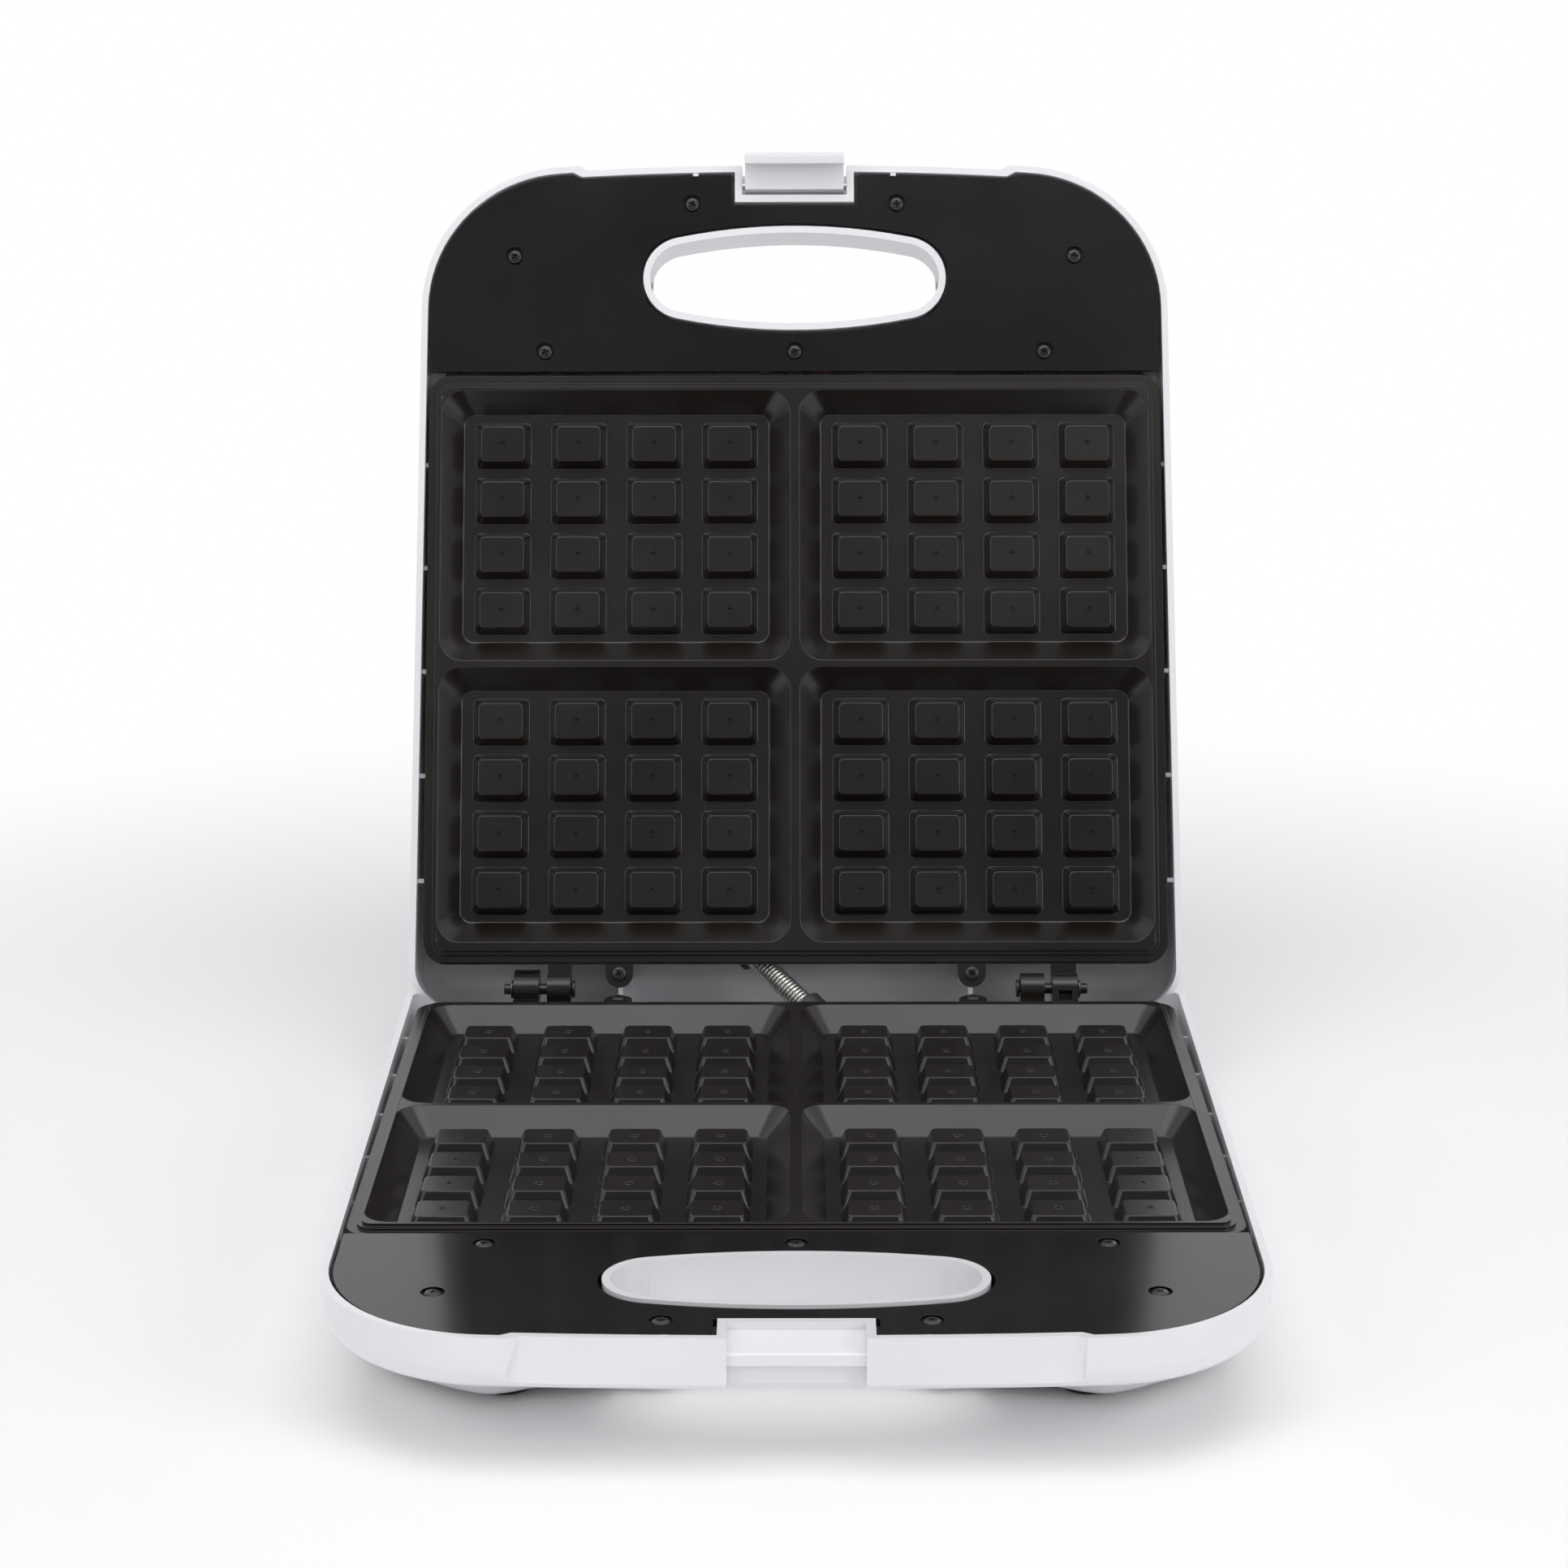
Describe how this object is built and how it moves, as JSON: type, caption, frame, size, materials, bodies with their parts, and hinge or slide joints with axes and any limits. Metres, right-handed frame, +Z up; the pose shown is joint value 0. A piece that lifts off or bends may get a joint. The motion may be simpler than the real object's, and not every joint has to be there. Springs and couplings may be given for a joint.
{
  "type": "sandwich and waffle maker",
  "caption": "Open hinged sandwich and waffle maker: two white shells with dished non-stick block plates, black grip panels with oval openings, a front latch and a wound conduit.",
  "frame": {"origin": "centre of the open machine's bounding box, on the surface it stands on", "axes": "+X to the right seen from the front, +Y to the hinge side, +Z up; the front grip points to -Y"},
  "size_m": [0.2916, 0.4576, 0.3476],
  "materials": {
    "white_plastic": "smooth white moulding",
    "black_panel": "satin black moulding",
    "screw_steel": "dark plated steel",
    "nonstick_casting": "cast aluminium under a dark non-stick coating",
    "heater_steel": "heat-tinted steel tube",
    "reflector_sheet": "bright sheet",
    "bright_steel": "zinc-plated steel",
    "dark_steel": "blackened spring steel",
    "control_body": "dark moulded resin",
    "foot_rubber": "soft black rubber",
    "gland_rubber": "white flexible moulding",
    "terminal_plastic": "natural nylon",
    "conduit_steel": "bright wound steel wire",
    "red_lens": "translucent red",
    "green_lens": "translucent green",
    "lamp_glass": "clear glass"
  },
  "bodies": {
    "base": {"lower_shell": "white_plastic", "lower_front_panel": "black_panel", "lower_panel_screws": "screw_steel", "lower_waffle_plate": "nonstick_casting", "lower_plate_screws": "screw_steel", "lower_heating_element": "heater_steel", "lower_heat_reflector": "reflector_sheet", "lower_reflector_nuts": "bright_steel", "lower_thermostat": "control_body", "rubber_feet": "foot_rubber", "hinge_pins": "bright_steel", "hinge_clips": "dark_steel", "cord_gland": "gland_rubber", "terminal_block": "terminal_plastic", "wire_conduit": "conduit_steel", "lower_conduit_clamp": "terminal_plastic"},
    "lid": {"upper_shell": "white_plastic", "upper_front_panel": "black_panel", "upper_panel_screws": "screw_steel", "upper_waffle_plate": "nonstick_casting", "upper_plate_screws": "screw_steel", "upper_heating_element": "heater_steel", "upper_heat_reflector": "reflector_sheet", "upper_reflector_nuts": "bright_steel", "upper_thermostat": "control_body", "power_lens": "red_lens", "ready_lens": "green_lens", "lamp_holder": "terminal_plastic", "neon_lamps": "lamp_glass", "latch_pin": "bright_steel", "upper_conduit_clamp": "terminal_plastic"},
    "latch": {"latch": "white_plastic"}
  },
  "joints": [
    {"name": "lid_hinge", "type": "hinge", "parent": "base", "child": "lid", "pos_m": [0, 0.08983, 0.0455], "axis": [1, 0, 0], "range_deg": [0, 111.5], "deforming": ["wire_conduit"]},
    {"name": "latch_pivot", "type": "hinge", "parent": "lid", "child": "latch", "pos_m": [0, 0.20976, 0.33359], "axis": [-1, 0, 0], "range_deg": [0, 25]}
  ]
}
